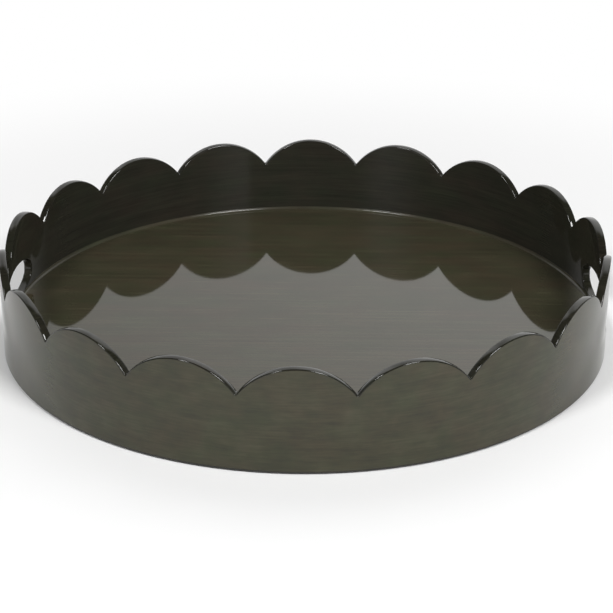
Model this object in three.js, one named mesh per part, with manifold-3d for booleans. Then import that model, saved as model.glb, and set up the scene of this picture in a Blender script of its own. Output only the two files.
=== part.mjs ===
// Round serving tray with a scalloped wall and two hand holes, in bent plywood and board under lacquer.
// Millimetres, +Z up. The origin is the tray's centre on the surface that it stands on, and the hand
// holes lie on the X axis. The wall is three thin plies bent into hoops and glued face to face. The
// outer and core plies run down to the wall's foot, and the inner ply stops on a rebate around the
// base panel, so that the wall carries the panel's edge. Brads through the core ply hold the panel
// while the glue sets, and the outer ply covers their heads.

import * as THREE from "three";
import { mergeVertices } from "three/addons/utils/BufferGeometryUtils.js";
import Module from "manifold-3d";

// ---- Driving dimensions ----
const TRAY_DIAMETER = 457.2;
const WALL_HEIGHT = 76.2; // foot of the wall to the crest of a lobe

const LOBES = 18; // a crest faces front and back, and a notch is over each hand hole
const SCALLOP_DEPTH = 20.6; // crest to notch

const PLY = 1.8; // thickness of each wall ply
const GLUE_LINE = 0.3; // gap between two glued pieces
const JOINT_KERF = 0.3; // gap between the two ends of a ply

const HOLE_LENGTH = 100; // hand hole, straight across from end to end
const HOLE_ABOVE_FLOOR = 0.8; // serving surface to the hole's lower edge
const GRIP_HEIGHT = 12.8; // wood left between the hole and the notch over it
const HOLE_SQUARENESS = 2.6; // 2 makes the outline an ellipse, and more fills out its corners

const PANEL_THICKNESS = 12;
const UNDERSIDE_RECESS = 2; // the panel's underside lies this far above the wall's foot
const REBATE_DEPTH = 5; // how far the inner ply drops behind the panel's shoulder
const BEAD_RADIUS = 2; // hollow of the filler bead in the corner
const BEAD_SEAT = 0.8; // depth of the step that the bead fills

const BRADS = 12;
const BRAD_LENGTH = 20;
const BRAD_RADIUS = 0.6;
const BRAD_HEAD_RADIUS = 1.1;
const BRAD_HEAD_THICKNESS = 0.8;
const BRAD_CLEARANCE = 0.3;

const FOOT_THICKNESS = 2.7;
const FOOT_TOP_RADIUS = 9;
const FOOT_BOTTOM_RADIUS = 7.5;
const FOOT_INSET = 45; // wall's outer face to a foot's centre

// ---- Steps of the round shapes ----
const STEPS_PER_LOBE = 10;
const RING_STEPS = LOBES * STEPS_PER_LOBE;
const HOLE_STEPS = 40;
const BEAD_STEPS = 4;
const BRAD_STEPS = 10;
const FOOT_STEPS = 32;

// ---- Sizes that follow from them ----
const OUTER_RADIUS = TRAY_DIAMETER / 2;
const PLY_PITCH = PLY + GLUE_LINE;
const CORE_RADIUS = OUTER_RADIUS - PLY_PITCH; // outer face of the core ply
const INNER_PLY_RADIUS = CORE_RADIUS - PLY_PITCH; // outer face of the inner ply
const WELL_RADIUS = INNER_PLY_RADIUS - PLY; // the wall's inner face

const PANEL_UNDERSIDE = FOOT_THICKNESS + GLUE_LINE;
const FLOOR = PANEL_UNDERSIDE + PANEL_THICKNESS; // the serving surface
const WALL_FOOT = PANEL_UNDERSIDE - UNDERSIDE_RECESS;
const CREST = WALL_FOOT + WALL_HEIGHT;
const NOTCH = CREST - SCALLOP_DEPTH;
const SHOULDER = FLOOR - REBATE_DEPTH; // lower edge of the inner ply

const HOLE_BOTTOM = FLOOR + HOLE_ABOVE_FLOOR;
const HOLE_TOP = NOTCH - GRIP_HEIGHT;
const BRAD_HEIGHT = (PANEL_UNDERSIDE + SHOULDER) / 2;

// ---- Finishes ----
function finish(name, color, roughness, metalness) {
  return new THREE.MeshStandardMaterial({ name, color, roughness, metalness });
}

const lacqueredPly = finish("lacquered_ply", 0x3c3b2e, 0.12, 0);
const lacqueredBoard = finish("lacquered_board", 0x3f3e30, 0.12, 0);
const lacqueredFiller = finish("lacquered_filler", 0x3f3e30, 0.12, 0);
const rawWood = finish("raw_wood", 0x9c7d58, 0.8, 0);
const brightSteel = finish("bright_steel", 0x9a9da0, 0.35, 1);
const blackRubber = finish("black_rubber", 0x1b1b1b, 0.7, 0);

// ---- Solids ----
const wasm = await Module();
wasm.setup();

// A closed geometry as a manifold-3d solid, joined at shared vertices.
function solid(geometry) {
  const bare = geometry.clone();
  bare.deleteAttribute("normal");
  bare.deleteAttribute("uv");
  const merged = mergeVertices(bare, 1e-4);
  return new wasm.Manifold(
    new wasm.Mesh({
      numProp: 3,
      vertProperties: new Float32Array(merged.attributes.position.array),
      triVerts: new Uint32Array(merged.index.array),
    }),
  );
}

function geometryOf(manifold) {
  const mesh = manifold.getMesh();
  const positions = new Float32Array(mesh.numVert * 3);
  for (let i = 0; i < mesh.numVert; i++) {
    positions.set(mesh.vertProperties.subarray(i * mesh.numProp, i * mesh.numProp + 3), i * 3);
  }
  const geometry = new THREE.BufferGeometry();
  geometry.setAttribute("position", new THREE.BufferAttribute(positions, 3));
  geometry.setIndex(new THREE.BufferAttribute(mesh.triVerts, 1));
  geometry.computeVertexNormals();
  return geometry;
}

function cutFrom(geometry, cutters) {
  let left = solid(geometry);
  for (const cutter of cutters) left = left.subtract(solid(cutter));
  return geometryOf(left);
}

// Turns a profile of [radius, height] points about Z. The points run anticlockwise, and the last
// equals the first, or both ends lie on the axis.
function turned(profile, steps) {
  const points = profile.map(([radius, height]) => new THREE.Vector2(radius, height));
  return new THREE.LatheGeometry(points, steps).rotateX(Math.PI / 2);
}

// ---- Scalloped wall ----
const LOBE_ANGLE = (2 * Math.PI) / LOBES;
const HALF_CHORD = (OUTER_RADIUS * LOBE_ANGLE) / 2; // half a lobe's width along the outer face
const LOBE_RADIUS = (HALF_CHORD ** 2 + SCALLOP_DEPTH ** 2) / (2 * SCALLOP_DEPTH);

// Height of the wall's top edge at an angle about Z. Each lobe is one arc, as bent round the wall.
function topEdge(angle) {
  const fromFront = angle + Math.PI / 2;
  const lobe = Math.round(fromFront / LOBE_ANGLE);
  const along = (fromFront - lobe * LOBE_ANGLE) * OUTER_RADIUS;
  return CREST - LOBE_RADIUS + Math.sqrt(LOBE_RADIUS ** 2 - along ** 2);
}

// A ring of one ply with its top edge cut to the scallops.
function plyRing(outerRadius, foot) {
  const innerRadius = outerRadius - PLY;
  const ring = turned(
    [
      [innerRadius, foot],
      [outerRadius, foot],
      [outerRadius, CREST],
      [innerRadius, CREST],
      [innerRadius, foot],
    ],
    RING_STEPS,
  );
  const place = ring.attributes.position;
  for (let i = 0; i < place.count; i++) {
    const onTop = place.getZ(i) > (foot + CREST) / 2;
    if (onTop) place.setZ(i, topEdge(Math.atan2(place.getY(i), place.getX(i))));
  }
  return ring;
}

// Both hand holes as one oval bar along X, fuller at the corners than an ellipse.
function handHoleCutter() {
  const halfLength = HOLE_LENGTH / 2;
  const halfHeight = (HOLE_TOP - HOLE_BOTTOM) / 2;
  const fill = (value) => Math.sign(value) * Math.abs(value) ** (2 / HOLE_SQUARENESS);
  const outline = [];
  for (let i = 0; i < HOLE_STEPS; i++) {
    const turn = (i / HOLE_STEPS) * 2 * Math.PI;
    outline.push(
      new THREE.Vector2(halfLength * fill(Math.cos(turn)), halfHeight * fill(Math.sin(turn))),
    );
  }
  const length = 2 * TRAY_DIAMETER;
  return new THREE.ExtrudeGeometry(new THREE.Shape(outline), { depth: length, bevelEnabled: false })
    .translate(0, 0, -length / 2)
    .rotateX(Math.PI / 2)
    .rotateZ(Math.PI / 2)
    .translate(0, 0, (HOLE_TOP + HOLE_BOTTOM) / 2);
}

// The gap between a ply's two ends, at an angle about Z.
function jointCutter(outerRadius, angle) {
  const reach = 4 * PLY;
  return new THREE.BoxGeometry(reach, JOINT_KERF, 3 * CREST)
    .translate(outerRadius - PLY / 2, 0, 0)
    .rotateZ(angle);
}

// ---- Brads ----
const bradAngles = Array.from({ length: BRADS }, (_, i) => ((i + 0.5) * 2 * Math.PI) / BRADS);

// A brad along X with its head's outer face at x = 0, grown by a clearance for the hole that it leaves.
function brad(clearance) {
  const shank = BRAD_RADIUS + clearance;
  const head = BRAD_HEAD_RADIUS + clearance;
  const neck = -BRAD_HEAD_THICKNESS - clearance;
  return turned(
    [
      [0, -BRAD_LENGTH - clearance],
      [shank, -BRAD_LENGTH - clearance],
      [shank, neck],
      [head, neck],
      [head, clearance],
      [0, clearance],
    ],
    BRAD_STEPS,
  ).rotateY(Math.PI / 2);
}

function bradHoles() {
  return bradAngles.map((angle) =>
    brad(BRAD_CLEARANCE).translate(CORE_RADIUS, 0, BRAD_HEIGHT).rotateZ(angle),
  );
}

// ---- Assembly ----
const tray = new THREE.Group();

function add(name, geometry, material) {
  const mesh = new THREE.Mesh(geometry, material);
  mesh.name = name;
  tray.add(mesh);
  return mesh;
}

// Each ply closes on itself at its own place. The two plies in sight close at a hand hole, where
// least of a joint is left.
function addWall() {
  const left = Math.PI;
  const right = 0;
  const back = Math.PI / 2;
  add(
    "wall_outer_ply",
    cutFrom(plyRing(OUTER_RADIUS, WALL_FOOT), [handHoleCutter(), jointCutter(OUTER_RADIUS, left)]),
    lacqueredPly,
  );
  add(
    "wall_core_ply",
    cutFrom(plyRing(CORE_RADIUS, WALL_FOOT), [
      handHoleCutter(),
      jointCutter(CORE_RADIUS, back),
      ...bradHoles(),
    ]),
    rawWood,
  );
  add(
    "wall_inner_ply",
    cutFrom(plyRing(INNER_PLY_RADIUS, SHOULDER), [
      handHoleCutter(),
      jointCutter(INNER_PLY_RADIUS, right),
    ]),
    lacqueredPly,
  );
}

// The panel's edge has a shoulder for the inner ply, and a shallow step on top for the bead.
function addBasePanel() {
  const edge = CORE_RADIUS - PLY_PITCH;
  const shoulderEdge = WELL_RADIUS - GLUE_LINE;
  const beadStep = shoulderEdge - BEAD_RADIUS - GLUE_LINE;
  const panel = turned(
    [
      [0, PANEL_UNDERSIDE],
      [edge, PANEL_UNDERSIDE],
      [edge, SHOULDER - GLUE_LINE],
      [shoulderEdge, SHOULDER - GLUE_LINE],
      [shoulderEdge, FLOOR - BEAD_SEAT],
      [beadStep, FLOOR - BEAD_SEAT],
      [beadStep, FLOOR],
      [0, FLOOR],
    ],
    RING_STEPS,
  );
  add("base_panel", cutFrom(panel, bradHoles()), lacqueredBoard);
}

// Filler run round the corner and hollowed with a finger, cut away where the hand holes cross it.
function addCornerBead() {
  const outer = WELL_RADIUS - GLUE_LINE;
  const toe = outer - BEAD_RADIUS;
  const bottom = FLOOR - BEAD_SEAT + GLUE_LINE;
  const hollow = [];
  for (let i = 0; i <= BEAD_STEPS; i++) {
    const turn = (i / BEAD_STEPS) * (Math.PI / 2);
    hollow.push([toe + BEAD_RADIUS * Math.cos(turn), FLOOR + BEAD_RADIUS * (1 - Math.sin(turn))]);
  }
  const bead = turned([[toe, bottom], [outer, bottom], ...hollow, [toe, bottom]], RING_STEPS);
  add("corner_bead", cutFrom(bead, [handHoleCutter()]), lacqueredFiller);
}

function addBrads() {
  bradAngles.forEach((angle, i) => {
    const mesh = add(`brad_${String(i + 1).padStart(2, "0")}`, brad(0), brightSteel);
    mesh.position.set(CORE_RADIUS * Math.cos(angle), CORE_RADIUS * Math.sin(angle), BRAD_HEIGHT);
    mesh.rotation.z = angle;
  });
}

// Self-adhesive rubber feet under the panel, which stand the wall clear of the table.
function addFeet() {
  const reach = OUTER_RADIUS - FOOT_INSET;
  const places = { back_right: 45, back_left: 135, front_left: 225, front_right: 315 };
  for (const [corner, degrees] of Object.entries(places)) {
    const angle = THREE.MathUtils.degToRad(degrees);
    const foot = turned(
      [
        [0, 0],
        [FOOT_BOTTOM_RADIUS, 0],
        [FOOT_TOP_RADIUS, FOOT_THICKNESS],
        [0, FOOT_THICKNESS],
      ],
      FOOT_STEPS,
    );
    const mesh = add(`foot_${corner}`, foot, blackRubber);
    mesh.position.set(reach * Math.cos(angle), reach * Math.sin(angle), 0);
  }
}

addWall();
addBasePanel();
addCornerBead();
addBrads();
addFeet();

export default tray;
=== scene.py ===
import math

import bpy
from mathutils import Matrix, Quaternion, Vector


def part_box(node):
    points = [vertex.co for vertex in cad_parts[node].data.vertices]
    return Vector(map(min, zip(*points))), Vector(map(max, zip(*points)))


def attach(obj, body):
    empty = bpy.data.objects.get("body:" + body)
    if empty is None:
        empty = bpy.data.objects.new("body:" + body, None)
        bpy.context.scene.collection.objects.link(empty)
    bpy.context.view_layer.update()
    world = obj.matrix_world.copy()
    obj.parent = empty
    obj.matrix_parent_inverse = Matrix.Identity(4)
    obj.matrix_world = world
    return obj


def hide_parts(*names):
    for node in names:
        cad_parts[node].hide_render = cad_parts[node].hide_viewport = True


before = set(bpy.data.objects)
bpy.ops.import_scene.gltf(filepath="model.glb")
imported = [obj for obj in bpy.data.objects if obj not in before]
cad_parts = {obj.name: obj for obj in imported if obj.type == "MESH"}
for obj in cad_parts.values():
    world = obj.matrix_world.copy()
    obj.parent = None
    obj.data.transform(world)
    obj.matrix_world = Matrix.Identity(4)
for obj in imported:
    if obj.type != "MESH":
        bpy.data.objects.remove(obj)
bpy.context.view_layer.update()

# ---------------------------------------------------------------------------------------------
# Base panel: a round 12 mm board with a shoulder round its edge, on which the wall's inner ply
# sits. It is painted on every side, with a dry brush dragged straight across, then lacquered,
# and its underside lies 2 mm above the wall's foot.
# ---------------------------------------------------------------------------------------------
MM = 0.001
PLY = 1.8 * MM
GLUE_LINE = 0.3 * MM
panel_low, panel_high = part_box("base_panel")
PANEL_TOP = panel_high.z
UNDERSIDE = panel_low.z
PANEL_RADIUS = panel_high.y
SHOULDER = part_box("wall_inner_ply")[0].z
WELL_RADIUS = PANEL_RADIUS - PLY
PANEL_EDGE = 0.5 * MM
PANEL_STEPS = 360
PANEL_RINGS = (0.25, 0.5, 0.75, 0.97)
CORNER_STEPS = 6


def mesh_piece(name, points, faces, material):
    """A smooth-shaded mesh object made from its points and faces."""
    mesh = bpy.data.meshes.new(name)
    mesh.from_pydata(points, [], faces)
    mesh.update()
    mesh.shade_smooth()
    mesh.materials.append(material)
    piece = bpy.data.objects.new(name, mesh)
    bpy.context.scene.collection.objects.link(piece)
    weighted = piece.modifiers.new("even_normals", "WEIGHTED_NORMAL")
    weighted.keep_sharp = True
    return piece


def turned(name, profile, steps, material, centre=(0, 0)):
    """Turns (radius, height) points about an upright axis, from its low end to its high end."""
    points = []
    faces = []
    for radius, height in profile[1:-1]:
        for step in range(steps):
            angle = 2 * math.pi * step / steps
            x = centre[0] + radius * math.cos(angle)
            y = centre[1] + radius * math.sin(angle)
            points.append((x, y, height))
    rings = len(profile) - 2
    for ring in range(rings - 1):
        lower = ring * steps
        upper = lower + steps
        for step in range(steps):
            after = (step + 1) % steps
            faces.append((lower + step, lower + after, upper + after, upper + step))
    for ring, height, order in ((0, profile[0][1], -1), (rings - 1, profile[-1][1], 1)):
        points.append((centre[0], centre[1], height))
        pole = len(points) - 1
        start = ring * steps
        for step in range(steps):
            after = (step + 1) % steps
            edge = (start + step, start + after)[::order]
            faces.append((*edge, pole))
    return mesh_piece(name, points, faces, material)


def corner(centre, radius, start, end, steps=CORNER_STEPS):
    """Points of a rounded corner about a (radius, height) centre, between two angles in degrees."""
    found = []
    for step in range(steps + 1):
        angle = math.radians(start + (end - start) * step / steps)
        found.append((centre[0] + radius * math.cos(angle), centre[1] + radius * math.sin(angle)))
    return found


def linear(hex_colour):
    """An sRGB hex colour as a linear RGBA value, by the standard sRGB curve."""
    values = []
    for place in (1, 3, 5):
        value = int(hex_colour[place : place + 2], 16) / 255
        values.append(value / 12.92 if value <= 0.04045 else ((value + 0.055) / 1.055) ** 2.4)
    return (*values, 1.0)


def add_node(tree, kind, settings=None, links=None):
    """Adds a node. Settings are its attributes or input values, and links feed its inputs, which
    go by name, or by number where a node has two of one name."""
    node = tree.nodes.new(kind)
    for key, value in (settings or {}).items():
        if isinstance(key, str) and hasattr(node, key):
            setattr(node, key, value)
        else:
            node.inputs[key].default_value = value
    for key, output in (links or {}).items():
        tree.links.new(output, node.inputs[key])
    return node


def new_material(name):
    """An empty node material."""
    material = bpy.data.materials.new(name)
    material.use_nodes = True
    material.node_tree.nodes.clear()
    return material


# A dry brush leaves bristle marks about 0.3 mm apart. They are too fine to show, so the strokes
# are drawn 1.1 mm wide. A brushful of paint covers patches about as wide as a finger.
STROKE_WIDTH = 1.1 * MM
PATCH_WIDTH = 14 * MM
BROAD_STROKE_SCALE = 0.3
BROAD_STROKE_SHARE = 0.4
DARK_AT = 0.35
MIDDLE_AT = 0.5
LIGHT_AT = 0.65
# The paint also drifts in hue. These are what the drift multiplies a colour by, from cool and
# greenish to warm, and the drift's noise is a slice apart from the patches' own.
HUE_PATCH_SCALE = 0.8
HUE_PATCH_SLICE = 7.0
COOL_AT = 0.32
WARM_AT = 0.68
COOL = (0.93, 1.03, 0.97, 1.0)
NEUTRAL = (1.0, 1.0, 1.0, 1.0)
WARM = (1.07, 0.97, 1.0, 1.0)
LACQUER_IOR = 1.44
HIGH_GLOSS = (0.03, 0.06)
Y_AXIS = 1
Z_AXIS = 2


def brushed_lacquer(name, across, stroke_length, patch_length, mottle, colours, polish):
    """Paint dragged on with a dry brush, under clear gloss lacquer: faint thin streaks of dark, mid
    and light olive-brown with soft warm and cool patches, seen through a smooth coat that mirrors
    what stands round it. The brush's width lies across the strokes, along Y on a floor and along Z
    on a wall. Mottle is the patches' share of the tone, the colours run from dark to light, and
    polish is the coat's roughness from its best rubbed to its least rubbed places."""
    material = new_material(name)
    tree = material.node_tree
    place = add_node(tree, "ShaderNodeTexCoord").outputs["Object"]
    stroke_scale = [1 / stroke_length] * 3
    stroke_scale[across] = 1 / STROKE_WIDTH
    patch_scale = [1 / patch_length] * 3
    patch_scale[across] = 1 / PATCH_WIDTH
    strokes = add_node(
        tree, "ShaderNodeMapping", {"Scale": stroke_scale}, {"Vector": place}
    ).outputs["Vector"]
    patches = add_node(
        tree, "ShaderNodeMapping", {"Scale": patch_scale}, {"Vector": place}
    ).outputs["Vector"]
    fine = add_node(
        tree, "ShaderNodeTexNoise", {"Scale": 1.0, "Detail": 3.0, "Roughness": 0.6}, {"Vector": strokes}
    ).outputs["Fac"]
    broad = add_node(
        tree, "ShaderNodeTexNoise", {"Scale": BROAD_STROKE_SCALE, "Detail": 2.0}, {"Vector": strokes}
    ).outputs["Fac"]
    patch = add_node(
        tree, "ShaderNodeTexNoise", {"Scale": 1.0, "Detail": 3.0}, {"Vector": patches}
    ).outputs["Fac"]
    streaks = add_node(
        tree, "ShaderNodeMix", {"data_type": "FLOAT", 0: BROAD_STROKE_SHARE}, {2: fine, 3: broad}
    ).outputs[0]
    tone = add_node(
        tree, "ShaderNodeMix", {"data_type": "FLOAT", 0: mottle}, {2: streaks, 3: patch}
    ).outputs[0]
    shade = add_node(tree, "ShaderNodeValToRGB", None, {"Fac": tone})
    dark, middle, light = (linear(colour) for colour in colours)
    stops = shade.color_ramp.elements
    stops[0].position = DARK_AT
    stops[0].color = dark
    stops[1].position = LIGHT_AT
    stops[1].color = light
    stops.new(MIDDLE_AT).color = middle
    hue = add_node(
        tree,
        "ShaderNodeTexNoise",
        {"Scale": HUE_PATCH_SCALE, "Detail": 2.0, "noise_dimensions": "4D", "W": HUE_PATCH_SLICE},
        {"Vector": patches},
    ).outputs["Fac"]
    tint = add_node(tree, "ShaderNodeValToRGB", None, {"Fac": hue})
    stops = tint.color_ramp.elements
    stops[0].position = COOL_AT
    stops[0].color = COOL
    stops[1].position = WARM_AT
    stops[1].color = WARM
    stops.new(MIDDLE_AT).color = NEUTRAL
    paint = add_node(
        tree,
        "ShaderNodeMix",
        {"data_type": "RGBA", "blend_type": "MULTIPLY", 0: 1.0},
        {6: shade.outputs["Color"], 7: tint.outputs["Color"]},
    ).outputs[2]
    rubbed = add_node(
        tree, "ShaderNodeMapRange", {"To Min": polish[0], "To Max": polish[1]}, {"Value": patch}
    ).outputs["Result"]
    surface = add_node(
        tree,
        "ShaderNodeBsdfPrincipled",
        {"IOR": LACQUER_IOR, "Metallic": 0.0},
        {"Base Color": paint, "Roughness": rubbed},
    ).outputs[0]
    add_node(tree, "ShaderNodeOutputMaterial", None, {"Surface": surface})
    return material


# The floor's paint is the brownest, in long straight strokes from hand hole to hand hole.
floor_paint = brushed_lacquer(
    "brushed_olive_paint_under_gloss_lacquer_floor",
    across=Y_AXIS,
    stroke_length=60 * MM,
    patch_length=30 * MM,
    mottle=0.25,
    colours=("#353226", "#3d3a2c", "#464333"),
    polish=HIGH_GLOSS,
)
panel_profile = [(0, UNDERSIDE)]
panel_profile += [(PANEL_RADIUS * share, UNDERSIDE) for share in PANEL_RINGS]
panel_profile += corner((PANEL_RADIUS - PANEL_EDGE, UNDERSIDE + PANEL_EDGE), PANEL_EDGE, -90, 0)
panel_profile += [(PANEL_RADIUS, SHOULDER - GLUE_LINE), (WELL_RADIUS - GLUE_LINE, SHOULDER - GLUE_LINE)]
panel_profile += corner(
    (WELL_RADIUS - GLUE_LINE - PANEL_EDGE, PANEL_TOP - PANEL_EDGE), PANEL_EDGE, 0, 90
)
panel_profile += [(WELL_RADIUS * share, PANEL_TOP) for share in PANEL_RINGS[::-1]]
panel_profile += [(0, PANEL_TOP)]
panel = turned("lacquered_panel", panel_profile, PANEL_STEPS, floor_paint)
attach(panel, "root")
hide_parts("base_panel")

# ---------------------------------------------------------------------------------------------
# Wall: three plies bent into hoops, glued face to face and cut to the scallops and hand holes,
# then filled, painted and lacquered as one, so that no ply shows. The paint is olive outside,
# darker inside as painted shade, near-black on the cut edges and near-black on the foot as a
# painted shadow, and the rim is sanded to a slight crown.
# ---------------------------------------------------------------------------------------------
# A hair's breadth keeps the wall within the CAD's box, and sorts its faces.
HAIR = 0.02 * MM
wall_low, wall_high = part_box("wall_outer_ply")
OUTER_RADIUS = wall_high.y - HAIR
REBATE_RADIUS = PANEL_RADIUS + GLUE_LINE
WALL_FOOT = wall_low.z
CREST = wall_high.z
FOOT_ROUND = 0.8 * MM
FOOT_STEPS = 5
RIM_ROUND = 1.0 * MM
RIM_STEPS = 8
CROWN_TILT = math.radians(10.4)
CROWN_STEPS = 3
# The faces next to a rounding are held flat by a ring of points this far from it.
SUPPORT = 0.6 * MM

# Each scallop is an arc on the wall laid flat, and a small hollow joins it to the next one.
LOBES = 18
SCALLOP_DEPTH = 20.6 * MM
HALF_CHORD = math.pi * OUTER_RADIUS / LOBES
LOBE_RADIUS = (HALF_CHORD**2 + SCALLOP_DEPTH**2) / (2 * SCALLOP_DEPTH)
LOBE_CENTRE = CREST - LOBE_RADIUS
NOTCH = CREST - SCALLOP_DEPTH
NOTCH_ROUND = 0.6 * MM
NOTCH_CENTRE = LOBE_CENTRE + math.sqrt((LOBE_RADIUS + NOTCH_ROUND) ** 2 - HALF_CHORD**2)
HALF_LOBE_STEPS = 24
CROWDING = 1.8
COLUMNS = LOBES * 2 * HALF_LOBE_STEPS

# Each hand hole is a squarish oval, from just above the floor to 12.8 mm below the notches.
HOLE_LENGTH = 100 * MM
HOLE_SQUARENESS = 2.6
HOLE_BOTTOM = PANEL_TOP + 0.8 * MM
HOLE_TOP = NOTCH - 12.8 * MM
HOLE_CENTRE = (HOLE_BOTTOM + HOLE_TOP) / 2
HOLE_ROUND = 0.8 * MM
HOLE_ROUND_STEPS = 5

# A hole is cut in a pane of the wall: the rings leave the pane out, and layers of points fill it
# from its border to the hole's edge, closer together towards the hole.
PANE_HALF_COLUMNS = 32
PANE_ROWS = 9
PANE_LAYERS = 7
PANE_CROWDING = 0.6
PANE_TOP = 49.5 * MM
PANE_BOTTOM_OUTSIDE = 7 * MM
PANE_BOTTOM_INSIDE = 11.8 * MM

wall_points = []
wall_faces = []


def column_angle(column):
    """Angle of a column of points. Columns crowd towards the notches and start over a hand hole."""
    lobe, step = divmod(column, 2 * HALF_LOBE_STEPS)
    if step <= HALF_LOBE_STEPS:
        along = HALF_CHORD * (step / HALF_LOBE_STEPS) ** CROWDING
    else:
        along = HALF_CHORD * (2 - ((2 * HALF_LOBE_STEPS - step) / HALF_LOBE_STEPS) ** CROWDING)
    return (2 * HALF_CHORD * lobe + along) / OUTER_RADIUS


def edge_height(angle, depth):
    """Height of the scalloped edge at an angle, or of the line a given depth below it."""
    along = (angle * OUTER_RADIUS) % (2 * HALF_CHORD)
    from_notch = min(along, 2 * HALF_CHORD - along)
    tangent = HALF_CHORD * (1 - (LOBE_RADIUS - depth) / (LOBE_RADIUS + NOTCH_ROUND))
    if from_notch < tangent:
        return NOTCH_CENTRE - math.sqrt((NOTCH_ROUND + depth) ** 2 - from_notch**2)
    from_crest = HALF_CHORD - from_notch
    return LOBE_CENTRE + math.sqrt((LOBE_RADIUS - depth) ** 2 - from_crest**2)


def level(height):
    """A line round the wall at one height."""
    return lambda angle: height


def below_edge(depth):
    """A line round the wall, a given depth below its scalloped edge."""
    return lambda angle: edge_height(angle, depth)


def pane_row(bottom, row):
    """A level line across the panes, counted from their bottom."""
    return level(bottom + (PANE_TOP - bottom) * row / PANE_ROWS)


def ring_of(radius, height_at):
    """Adds a closed ring of points round the wall and gives their numbers."""
    start = len(wall_points)
    for column in range(COLUMNS):
        angle = column_angle(column)
        wall_points.append((radius * math.cos(angle), radius * math.sin(angle), height_at(angle)))
    return list(range(start, start + COLUMNS))


def join_rings(lower, upper, skip=()):
    """Adds the faces between two rings, apart from the columns to skip."""
    for column in range(COLUMNS):
        if column in skip:
            continue
        after = (column + 1) % COLUMNS
        wall_faces.append((lower[column], lower[after], upper[after], upper[column]))


def hole_point(turn, offset):
    """A point (across, height) of a hand hole's outline at a turn, moved out by an offset."""
    half = (HOLE_LENGTH / 2, (HOLE_TOP - HOLE_BOTTOM) / 2)
    power = 2 / HOLE_SQUARENESS
    c, s = math.cos(turn), math.sin(turn)
    across = half[0] * math.copysign(abs(c) ** power, c)
    height = half[1] * math.copysign(abs(s) ** power, s)
    slope = HOLE_SQUARENESS - 1
    normal = Vector(
        (
            math.copysign(abs(across / half[0]) ** slope, across) / half[0],
            math.copysign(abs(height / half[1]) ** slope, height) / half[1],
        )
    ).normalized()
    return across + normal.x * offset, HOLE_CENTRE + height + normal.y * offset


def bend(across, height, radius, side):
    """Adds a point at its distance across a hand hole, bent to a radius, and gives its number."""
    x = math.sqrt(radius**2 - across**2)
    wall_points.append((side * x, side * across, height))
    return len(wall_points) - 1


def pane_border(rows, hole):
    """The points round a hand hole's pane, anticlockwise from outside."""
    left = hole - PANE_HALF_COLUMNS
    right = hole + PANE_HALF_COLUMNS
    border = [rows[0][column % COLUMNS] for column in range(left, right)]
    border += [row[right % COLUMNS] for row in rows[:-1]]
    border += [rows[-1][column % COLUMNS] for column in range(right, left, -1)]
    border += [row[left % COLUMNS] for row in rows[:0:-1]]
    return border


# The wall's section is followed from the rebate round the foot, up the outside, over the crowned
# rim, down the inside and along the rebate that sits on the panel's shoulder.
foot_profile = corner(
    (REBATE_RADIUS + FOOT_ROUND, WALL_FOOT + FOOT_ROUND), FOOT_ROUND, 180, 270, FOOT_STEPS
)
foot_profile += corner(
    (OUTER_RADIUS - FOOT_ROUND, WALL_FOOT + FOOT_ROUND), FOOT_ROUND, 270, 360, FOOT_STEPS
)
foot_profile += [(OUTER_RADIUS, WALL_FOOT + FOOT_ROUND + SUPPORT)]

# The crown is a shallow arch across the rim, which meets the rounding at the crown's tilt.
rim_middle = (OUTER_RADIUS + WELL_RADIUS) / 2
crown_half = OUTER_RADIUS - rim_middle - RIM_ROUND * (1 - math.sin(CROWN_TILT))
crown_drop = crown_half * math.tan(CROWN_TILT) / 2
round_depth = crown_drop + RIM_ROUND * math.cos(CROWN_TILT)
# The rim's outer half goes up over the rounding and along the crown, and the inner half is its
# mirror image.
half_profile = [(OUTER_RADIUS, round_depth + SUPPORT)]
for step in range(RIM_STEPS + 1):
    turn = (math.pi / 2 - CROWN_TILT) * step / RIM_STEPS
    radius = OUTER_RADIUS - RIM_ROUND * (1 - math.cos(turn))
    half_profile.append((radius, round_depth - RIM_ROUND * math.sin(turn)))
for step in range(1, CROWN_STEPS + 1):
    share = 1 - step / CROWN_STEPS
    half_profile.append((rim_middle + crown_half * share, crown_drop * share**2))
rim_profile = half_profile + [
    (2 * rim_middle - radius, depth) for radius, depth in half_profile[-2::-1]
]

foot_rings = [ring_of(radius, level(height)) for radius, height in foot_profile]
outside_rows = [
    ring_of(OUTER_RADIUS, pane_row(PANE_BOTTOM_OUTSIDE, row)) for row in range(PANE_ROWS + 1)
]
rim_rings = [ring_of(radius, below_edge(depth)) for radius, depth in rim_profile]
inside_rows = [
    ring_of(WELL_RADIUS, pane_row(PANE_BOTTOM_INSIDE, row)) for row in range(PANE_ROWS, -1, -1)
]
rebate_rings = [ring_of(radius, level(SHOULDER)) for radius in (WELL_RADIUS, REBATE_RADIUS)]

holes = (0, COLUMNS // 2)
pane_columns = set()
for hole in holes:
    for column in range(hole - PANE_HALF_COLUMNS, hole + PANE_HALF_COLUMNS):
        pane_columns.add(column % COLUMNS)
section = foot_rings + outside_rows + rim_rings + inside_rows + rebate_rings
for lower, upper in zip(section, section[1:] + section[:1]):
    across_outside = lower in outside_rows and upper in outside_rows
    across_inside = lower in inside_rows and upper in inside_rows
    join_rings(lower, upper, pane_columns if across_outside or across_inside else ())

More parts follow.
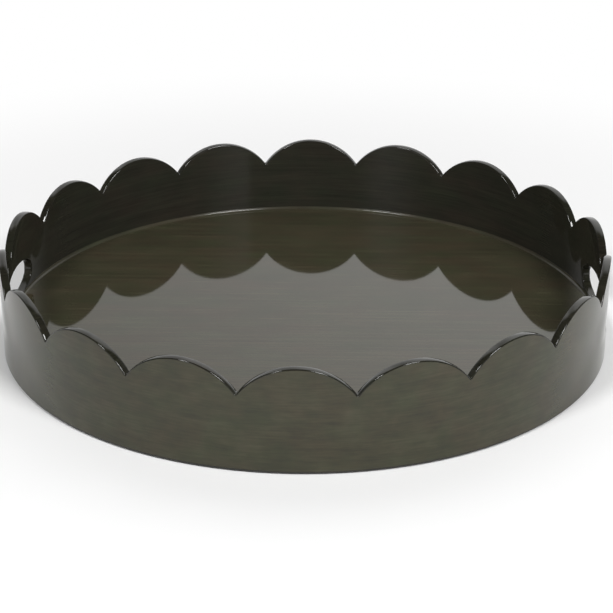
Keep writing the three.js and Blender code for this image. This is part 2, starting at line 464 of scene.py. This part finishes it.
# A hole's edge is rounded over outside, runs straight through the wall, and is rounded inside.
hole_profile = []
for step in range(1, HOLE_ROUND_STEPS + 1):
    turn = math.pi / 2 * step / HOLE_ROUND_STEPS
    radius = OUTER_RADIUS - HOLE_ROUND * (1 - math.cos(turn))
    hole_profile.append((radius, HOLE_ROUND * (1 - math.sin(turn))))
for step in range(HOLE_ROUND_STEPS):
    turn = math.pi / 2 * (1 - step / HOLE_ROUND_STEPS)
    radius = WELL_RADIUS + HOLE_ROUND * (1 - math.cos(turn))
    hole_profile.append((radius, HOLE_ROUND * (1 - math.sin(turn))))

for hole in holes:
    side = 1 if hole == 0 else -1
    borders = (pane_border(outside_rows, hole), pane_border(inside_rows[::-1], hole))
    turns = []
    for index in borders[0]:
        x, y, z = wall_points[index]
        rise = (z - HOLE_CENTRE) / (HOLE_TOP - HOLE_BOTTOM)
        turns.append(math.atan2(rise, side * y / HOLE_LENGTH))
    panes = []
    for border, radius in zip(borders, (OUTER_RADIUS, WELL_RADIUS)):
        layers = [border]
        for layer in range(1, PANE_LAYERS + 1):
            share = (layer / PANE_LAYERS) ** PANE_CROWDING
            loop = []
            for index, turn in zip(border, turns):
                x, y, z = wall_points[index]
                across, height = hole_point(turn, HOLE_ROUND)
                across = side * y + (across - side * y) * share
                height = z + (height - z) * share
                loop.append(bend(across, height, radius, side))
            layers.append(loop)
        panes.append(layers)
    loops = panes[0]
    for radius, offset in hole_profile:
        loops.append([bend(*hole_point(turn, offset), radius, side) for turn in turns])
    loops += panes[1][::-1]
    for outer, inner in zip(loops, loops[1:]):
        for first in range(len(outer)):
            after = (first + 1) % len(outer)
            wall_faces.append((outer[first], outer[after], inner[after], inner[first]))

# Inside, the paint is a dark olive-brown in short level strokes, darker than outside as painted
# shade inside the tray, so the wall's inner face looks nearly black until it mirrors something pale.
inside_paint_with_painted_shade = brushed_lacquer(
    "brushed_dark_olive_paint_under_gloss_lacquer_inside",
    across=Z_AXIS,
    stroke_length=30 * MM,
    patch_length=30 * MM,
    mottle=0.25,
    colours=("#272620", "#2d2c25", "#333229"),
    polish=HIGH_GLOSS,
)
# The rim, the holes' edges and the foot are painted near-black. On the foot it is a painted
# shadow, where the wall stands on the floor.
edge_paint_and_foot_shadow = brushed_lacquer(
    "olive_black_paint_under_gloss_lacquer_edges",
    across=Z_AXIS,
    stroke_length=30 * MM,
    patch_length=30 * MM,
    mottle=0.25,
    colours=("#1a1a14", "#22211a", "#2a2921"),
    polish=HIGH_GLOSS,
)
# Outside, the paint is dabbed on in short level strokes, so it is the greenest and the most
# mottled of the coats.
outside_paint = brushed_lacquer(
    "brushed_olive_paint_under_gloss_lacquer_outside",
    across=Z_AXIS,
    stroke_length=14 * MM,
    patch_length=18 * MM,
    mottle=0.38,
    colours=("#2f2e22", "#383727", "#424030"),
    polish=HIGH_GLOSS,
)
# The points within the panes belong to no face and are left out.
used = sorted({index for face in wall_faces for index in face})
renumber = {index: number for number, index in enumerate(used)}
wall = mesh_piece(
    "lacquered_wall",
    [wall_points[index] for index in used],
    [tuple(renumber[index] for index in face) for face in wall_faces],
    inside_paint_with_painted_shade,
)
wall.data.materials.append(outside_paint)
wall.data.materials.append(edge_paint_and_foot_shadow)
# A face at the outer radius is outside, and one at the inner radius is inside. All the rest is
# edge, and so is the outside's lowest 1.4 mm, as a painted shadow where the wall meets the floor.
OUTSIDE_FINISH = 1
EDGE_AND_FOOT_SHADOW_FINISH = 2
FOOT_SHADOW_TOP = WALL_FOOT + FOOT_ROUND + SUPPORT + HAIR
for face in wall.data.polygons:
    corners = [wall.data.vertices[index].co for index in face.vertices]
    reaches = [math.hypot(*point[:2]) for point in corners]
    above_foot_shadow = max(point.z for point in corners) > FOOT_SHADOW_TOP
    if min(reaches) > OUTER_RADIUS - HAIR and above_foot_shadow:
        face.material_index = OUTSIDE_FINISH
    elif max(reaches) > WELL_RADIUS + HAIR:
        face.material_index = EDGE_AND_FOOT_SHADOW_FINISH
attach(wall, "root")
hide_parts("wall_outer_ply", "wall_core_ply", "wall_inner_ply")

# ---------------------------------------------------------------------------------------------
# Brads: short pins of bright steel wire, drawn and headed, driven through the core ply into the
# panel's edge before the outer ply goes on. They keep the CAD's shape and are sealed inside.
# ---------------------------------------------------------------------------------------------
# Drawn wire has a soft grey shine, broken up by the die's marks. Those are a few hundredths of a
# millimetre apart, too fine to show, so they are drawn 0.2 mm apart.
DRAW_MARKS = 0.2 * MM
WIRE_SHINE = (0.28, 0.42)
drawn_steel = new_material("drawn_bright_steel")
tree = drawn_steel.node_tree
place = add_node(tree, "ShaderNodeTexCoord").outputs["Object"]
marks = add_node(
    tree, "ShaderNodeTexNoise", {"Scale": 1 / DRAW_MARKS, "Detail": 2.0}, {"Vector": place}
).outputs["Fac"]
wear = add_node(
    tree, "ShaderNodeMapRange", {"To Min": WIRE_SHINE[0], "To Max": WIRE_SHINE[1]}, {"Value": marks}
).outputs["Result"]
surface = add_node(
    tree,
    "ShaderNodeBsdfPrincipled",
    {"Base Color": linear("#a8a9ab"), "Metallic": 1.0},
    {"Roughness": wear},
).outputs[0]
add_node(tree, "ShaderNodeOutputMaterial", None, {"Surface": surface})
for name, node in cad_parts.items():
    if name.startswith("brad_"):
        node.data.materials.clear()
        node.data.materials.append(drawn_steel)

# ---------------------------------------------------------------------------------------------
# Corner bead: a run of filler pressed into the corner of floor and wall, hollowed, painted and
# lacquered. Where a hand hole comes down to the floor, the bead thins to pass under it.
# ---------------------------------------------------------------------------------------------
BEAD_RADIUS = 2 * MM
BEAD_ARC_STEPS = 8
BEAD_BURIED = 0.5 * MM
BEAD_SHARE_UNDER_HOLE = 0.75
bead_points = []
bead_faces = []
# The hole's lip is lowest at its middle, and the bead's top stays below it.
for column in range(COLUMNS):
    angle = column_angle(column)
    across = min(abs(WELL_RADIUS * math.sin(angle)) / (HOLE_LENGTH / 2), 1)
    sagging = (1 - across**HOLE_SQUARENESS) ** (1 / HOLE_SQUARENESS)
    lip = HOLE_CENTRE - (HOLE_TOP - HOLE_BOTTOM) / 2 * sagging
    radius = min(BEAD_RADIUS, BEAD_SHARE_UNDER_HOLE * (lip - PANEL_TOP))
    toe = WELL_RADIUS - radius
    profile = [
        (WELL_RADIUS + BEAD_BURIED, PANEL_TOP - GLUE_LINE),
        (toe - GLUE_LINE, PANEL_TOP - GLUE_LINE),
    ]
    for step in range(BEAD_ARC_STEPS + 1):
        turn = math.pi / 2 * step / BEAD_ARC_STEPS
        profile.append((toe + radius * math.sin(turn), PANEL_TOP + radius * (1 - math.cos(turn))))
    profile.append((WELL_RADIUS + BEAD_BURIED, PANEL_TOP + radius))
    for reach, height in profile:
        bead_points.append((reach * math.cos(angle), reach * math.sin(angle), height))
bead_size = len(profile)
for column in range(COLUMNS):
    here = column * bead_size
    beyond = (column + 1) % COLUMNS * bead_size
    for low in range(bead_size):
        high = (low + 1) % bead_size
        bead_faces.append((here + low, here + high, beyond + high, beyond + low))
# The bead's lacquer can't be rubbed in the corner, so it stays satin and patchy, and spreads the
# light into a soft pale line. Its paint is a little lighter than the floor's, a painted highlight
# along that line.
bead_paint_with_painted_highlight = brushed_lacquer(
    "wiped_olive_paint_under_satin_lacquer_bead",
    across=Z_AXIS,
    stroke_length=30 * MM,
    patch_length=30 * MM,
    mottle=0.5,
    colours=("#36342a", "#3e3c30", "#464436"),
    polish=(0.14, 0.2),
)
bead = mesh_piece("lacquered_bead", bead_points, bead_faces, bead_paint_with_painted_highlight)
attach(bead, "root")
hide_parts("corner_bead")

# ---------------------------------------------------------------------------------------------
# Feet: four small discs of black rubber, moulded with a taper and a dished tread, and stuck to
# the panel's underside by a film of glue.
# ---------------------------------------------------------------------------------------------
# Moulded rubber is near-black and matt, with a faint grain. The mould's grain is about 0.1 mm,
# too fine to show, so it is drawn at 0.5 mm.
RUBBER_GRAIN = 0.5 * MM
GRAIN_DEPTH = 0.05 * MM
moulded_rubber = new_material("moulded_black_rubber")
tree = moulded_rubber.node_tree
place = add_node(tree, "ShaderNodeTexCoord").outputs["Object"]
grain = add_node(
    tree, "ShaderNodeTexNoise", {"Scale": 1 / RUBBER_GRAIN, "Detail": 3.0}, {"Vector": place}
).outputs["Fac"]
shade = add_node(tree, "ShaderNodeValToRGB", None, {"Fac": grain})
shade.color_ramp.elements[0].color = linear("#161616")
shade.color_ramp.elements[1].color = linear("#242423")
skin = add_node(
    tree, "ShaderNodeBump", {"Strength": 0.25, "Distance": GRAIN_DEPTH}, {"Height": grain}
).outputs["Normal"]
surface = add_node(
    tree,
    "ShaderNodeBsdfPrincipled",
    {"Roughness": 0.62, "IOR": 1.52},
    {"Base Color": shade.outputs["Color"], "Normal": skin},
).outputs[0]
add_node(tree, "ShaderNodeOutputMaterial", None, {"Surface": surface})
RUBBER_STEPS = 64
RUBBER_EDGE = 0.5 * MM
# Both edges are rounded as far as 15 degrees below level, and the tapered side joins them.
EDGE_END = -15
TAPER = 1.5 * MM
TREAD = 2 * MM
DISH_DEPTH = 0.15 * MM
DISH_SHOULDER_DEPTH = 0.1 * MM
DISH_SHOULDER_SHARE = 0.6
# The glue stops short of the foot's edge, and bites into the panel so that no gap is left.
GLUE_MARGIN = 1 * MM
GLUE_BITE = 0.01 * MM
for corner_name in ("back_right", "back_left", "front_left", "front_right"):
    foot_low, foot_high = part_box("foot_" + corner_name)
    middle = (foot_low + foot_high) / 2
    top_radius = (foot_high.x - foot_low.x) / 2
    bottom_radius = top_radius - TAPER
    rubber_profile = [
        (0, DISH_DEPTH),
        (bottom_radius * DISH_SHOULDER_SHARE, DISH_SHOULDER_DEPTH),
        (bottom_radius - TREAD, 0),
    ]
    rubber_profile += corner((bottom_radius - RUBBER_EDGE, RUBBER_EDGE), RUBBER_EDGE, -90, EDGE_END)
    rubber_profile += corner(
        (top_radius - RUBBER_EDGE, foot_high.z - RUBBER_EDGE), RUBBER_EDGE, EDGE_END, 90
    )
    rubber_profile += [(top_radius - GLUE_MARGIN, UNDERSIDE + GLUE_BITE), (0, UNDERSIDE + GLUE_BITE)]
    foot = turned(
        "rubber_foot_" + corner_name, rubber_profile, RUBBER_STEPS, moulded_rubber, middle[:2]
    )
    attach(foot, "root")
    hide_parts("foot_" + corner_name)

# ---------------------------------------------------------------------------------------------
# Studio: a white floor, two square softboxes high in front, and a surround for the lacquer to
# mirror, which is a dim room with a pale backdrop behind the tray and two tall strips of light,
# like windows, in front of it.
# ---------------------------------------------------------------------------------------------
# Matt white paper keeps the tray's shadow near it, and further off it is seen as plain white.
FLOOR_REACH = 8.0
WHITE_STARTS = 0.32
WHITE_FROM = 0.7
white_floor = new_material("white_studio_floor")
tree = white_floor.node_tree
lit = add_node(tree, "ShaderNodeBsdfDiffuse", {"Color": linear("#f9f9f9")}).outputs[0]
white = add_node(tree, "ShaderNodeEmission", {"Color": linear("#ffffff")}).outputs[0]
place = add_node(tree, "ShaderNodeTexCoord").outputs["Object"]
reach = add_node(
    tree, "ShaderNodeVectorMath", {"operation": "LENGTH"}, {0: place}
).outputs["Value"]
far_off = add_node(
    tree,
    "ShaderNodeMapRange",
    {"interpolation_type": "SMOOTHSTEP", "From Min": WHITE_STARTS, "From Max": WHITE_FROM},
    {"Value": reach},
).outputs["Result"]
ray = add_node(tree, "ShaderNodeLightPath").outputs
seen = ray["Is Camera Ray"]
for kind in ("Is Glossy Ray", "Is Transmission Ray"):
    seen = add_node(
        tree, "ShaderNodeMath", {"operation": "MAXIMUM"}, {0: seen, 1: ray[kind]}
    ).outputs[0]
share = add_node(
    tree, "ShaderNodeMath", {"operation": "MULTIPLY"}, {0: seen, 1: far_off}
).outputs[0]
surface = add_node(tree, "ShaderNodeMixShader", None, {0: share, 1: lit, 2: white}).outputs[0]
add_node(tree, "ShaderNodeOutputMaterial", None, {"Surface": surface})
ground = mesh_piece(
    "studio_floor",
    [(x * FLOOR_REACH, y * FLOOR_REACH, 0) for x, y in ((-1, -1), (1, -1), (1, 1), (-1, 1))],
    [(0, 1, 2, 3)],
    white_floor,
)

# The surround's brightness follows the direction: its height, and its bearings from straight
# behind the tray and from straight in front, both rising to the right.
surround = bpy.data.worlds.new("studio_surround")
bpy.context.scene.world = surround
surround.use_nodes = True
tree = surround.node_tree
tree.nodes.clear()
direction = add_node(tree, "ShaderNodeTexCoord").outputs["Generated"]
axes = add_node(tree, "ShaderNodeSeparateXYZ", None, {"Vector": direction}).outputs
backwards = add_node(
    tree, "ShaderNodeMath", {"operation": "ARCTAN2"}, {0: axes["X"], 1: axes["Y"]}
).outputs[0]
aside = add_node(tree, "ShaderNodeMath", {"operation": "ABSOLUTE"}, {0: backwards}).outputs[0]
towards_front = add_node(
    tree, "ShaderNodeMath", {"operation": "MULTIPLY", 1: -1.0}, {0: axes["Y"]}
).outputs[0]
forwards = add_node(
    tree, "ShaderNodeMath", {"operation": "ARCTAN2"}, {0: axes["X"], 1: towards_front}
).outputs[0]


def height_of(degrees):
    """The height, on a sphere of radius 1, of a direction that many degrees above the floor."""
    return math.sin(math.radians(degrees))


# Each fade goes smoothly from one factor to another between two directions. The backdrop
# brightens upwards, ends at its top and sides, and is brighter to the right and at its far left.
# The room is lightest low down.
fades = {}
for name, value, start, end, before, beyond in (
    ("rise", axes["Z"], height_of(26), height_of(40), 1.0, 1.3),
    ("top", axes["Z"], height_of(55), height_of(72), 1.0, 0.0),
    ("sides", aside, math.radians(33), math.radians(53), 1.0, 0.0),
    ("rightwards", backwards, math.radians(-12.6), math.radians(8.8), 0.63, 1.05),
    ("far_left", backwards, math.radians(-30), math.radians(-16), 1.65, 1.0),
    ("room", axes["Z"], height_of(27), height_of(43), 1.0, 0.0),
):
    fades[name] = add_node(
        tree,
        "ShaderNodeMapRange",
        {
            "interpolation_type": "SMOOTHSTEP",
            "From Min": start,
            "From Max": end,
            "To Min": before,
            "To Max": beyond,
        },
        {"Value": value},
    ).outputs["Result"]
backdrop = fades["rise"]
for name in ("top", "sides", "rightwards", "far_left"):
    backdrop = add_node(
        tree, "ShaderNodeMath", {"operation": "MULTIPLY"}, {0: backdrop, 1: fades[name]}
    ).outputs[0]
LOW_ROOM_LIGHT = 0.12
CEILING_LIGHT = 0.05
room = add_node(
    tree,
    "ShaderNodeMath",
    {"operation": "MULTIPLY_ADD", 1: LOW_ROOM_LIGHT, 2: CEILING_LIGHT},
    {0: fades["room"]},
).outputs[0]
brightness = add_node(
    tree, "ShaderNodeMath", {"operation": "ADD"}, {0: room, 1: backdrop}
).outputs[0]
# Each strip is given by its bearings in front, in degrees, where it starts, is brightest and
# ends, and by its strength. It stands on the floor and fades out above as the room does.
for near_edge, middle, far_edge, strength in (
    (22, 27, 48, 1.4),
    (-18, -32, -52, 1.35),
):
    strip = fades["room"]
    for edge in (near_edge, far_edge):
        side = add_node(
            tree,
            "ShaderNodeMapRange",
            {
                "interpolation_type": "SMOOTHSTEP",
                "From Min": math.radians(edge),
                "From Max": math.radians(middle),
            },
            {"Value": forwards},
        ).outputs["Result"]
        strip = add_node(
            tree, "ShaderNodeMath", {"operation": "MULTIPLY"}, {0: strip, 1: side}
        ).outputs[0]
    brightness = add_node(
        tree,
        "ShaderNodeMath",
        {"operation": "MULTIPLY_ADD", 1: strength},
        {0: strip, 2: brightness},
    ).outputs[0]
light = add_node(
    tree, "ShaderNodeBackground", {"Color": linear("#ffffff")}, {"Strength": brightness}
).outputs[0]
add_node(tree, "ShaderNodeOutputWorld", None, {"Surface": light})

# Each softbox faces the middle of the tray. The sizes and places are in metres.
for name, size, watts, spot in (
    ("left_softbox", 0.75, 55.0, (-1.68, -2.0, 3.02)),
    ("right_softbox", 1.2, 104.0, (1.72, -2.2, 2.88)),
):
    lamp = bpy.data.lights.new(name, "AREA")
    lamp.shape = "SQUARE"
    lamp.size = size
    lamp.energy = watts
    softbox = bpy.data.objects.new(name, lamp)
    bpy.context.scene.collection.objects.link(softbox)
    softbox.location = spot
    softbox.rotation_mode = "QUATERNION"
    softbox.rotation_quaternion = Vector(spot).to_track_quat("Z", "Y")

# ---------------------------------------------------------------------------------------------
# Camera: a long lens 1.4 m from the tray, in front of it and slightly to its right, which looks
# down at about 24 degrees to just above the middle of the tray's foot.
# ---------------------------------------------------------------------------------------------
CAMERA_DISTANCE = 1.4324
CAMERA_ELEVATION = math.radians(24.62)
CAMERA_TURN = math.radians(1.3)
CAMERA_DIP = math.radians(23.93)
CAMERA_YAW = math.radians(0.06)
CAMERA_ROLL = math.radians(0.1)
FOCAL_LENGTH = 109.3
SENSOR_WIDTH = 36.0
camera_data = bpy.data.cameras.new("camera")
camera_data.lens = FOCAL_LENGTH
camera_data.sensor_width = SENSOR_WIDTH
camera = bpy.data.objects.new("camera", camera_data)
bpy.context.scene.collection.objects.link(camera)
bpy.context.scene.camera = camera
camera.location = (
    CAMERA_DISTANCE * math.cos(CAMERA_ELEVATION) * math.sin(CAMERA_TURN),
    -CAMERA_DISTANCE * math.cos(CAMERA_ELEVATION) * math.cos(CAMERA_TURN),
    CAMERA_DISTANCE * math.sin(CAMERA_ELEVATION) + WALL_FOOT,
)
camera.rotation_mode = "QUATERNION"
camera.rotation_quaternion = (
    Quaternion((0, 0, 1), CAMERA_TURN - CAMERA_YAW)
    @ Quaternion((1, 0, 0), math.pi / 2 - CAMERA_DIP)
    @ Quaternion((0, 0, 1), CAMERA_ROLL)
)
bpy.context.scene.view_settings.view_transform = "Standard"
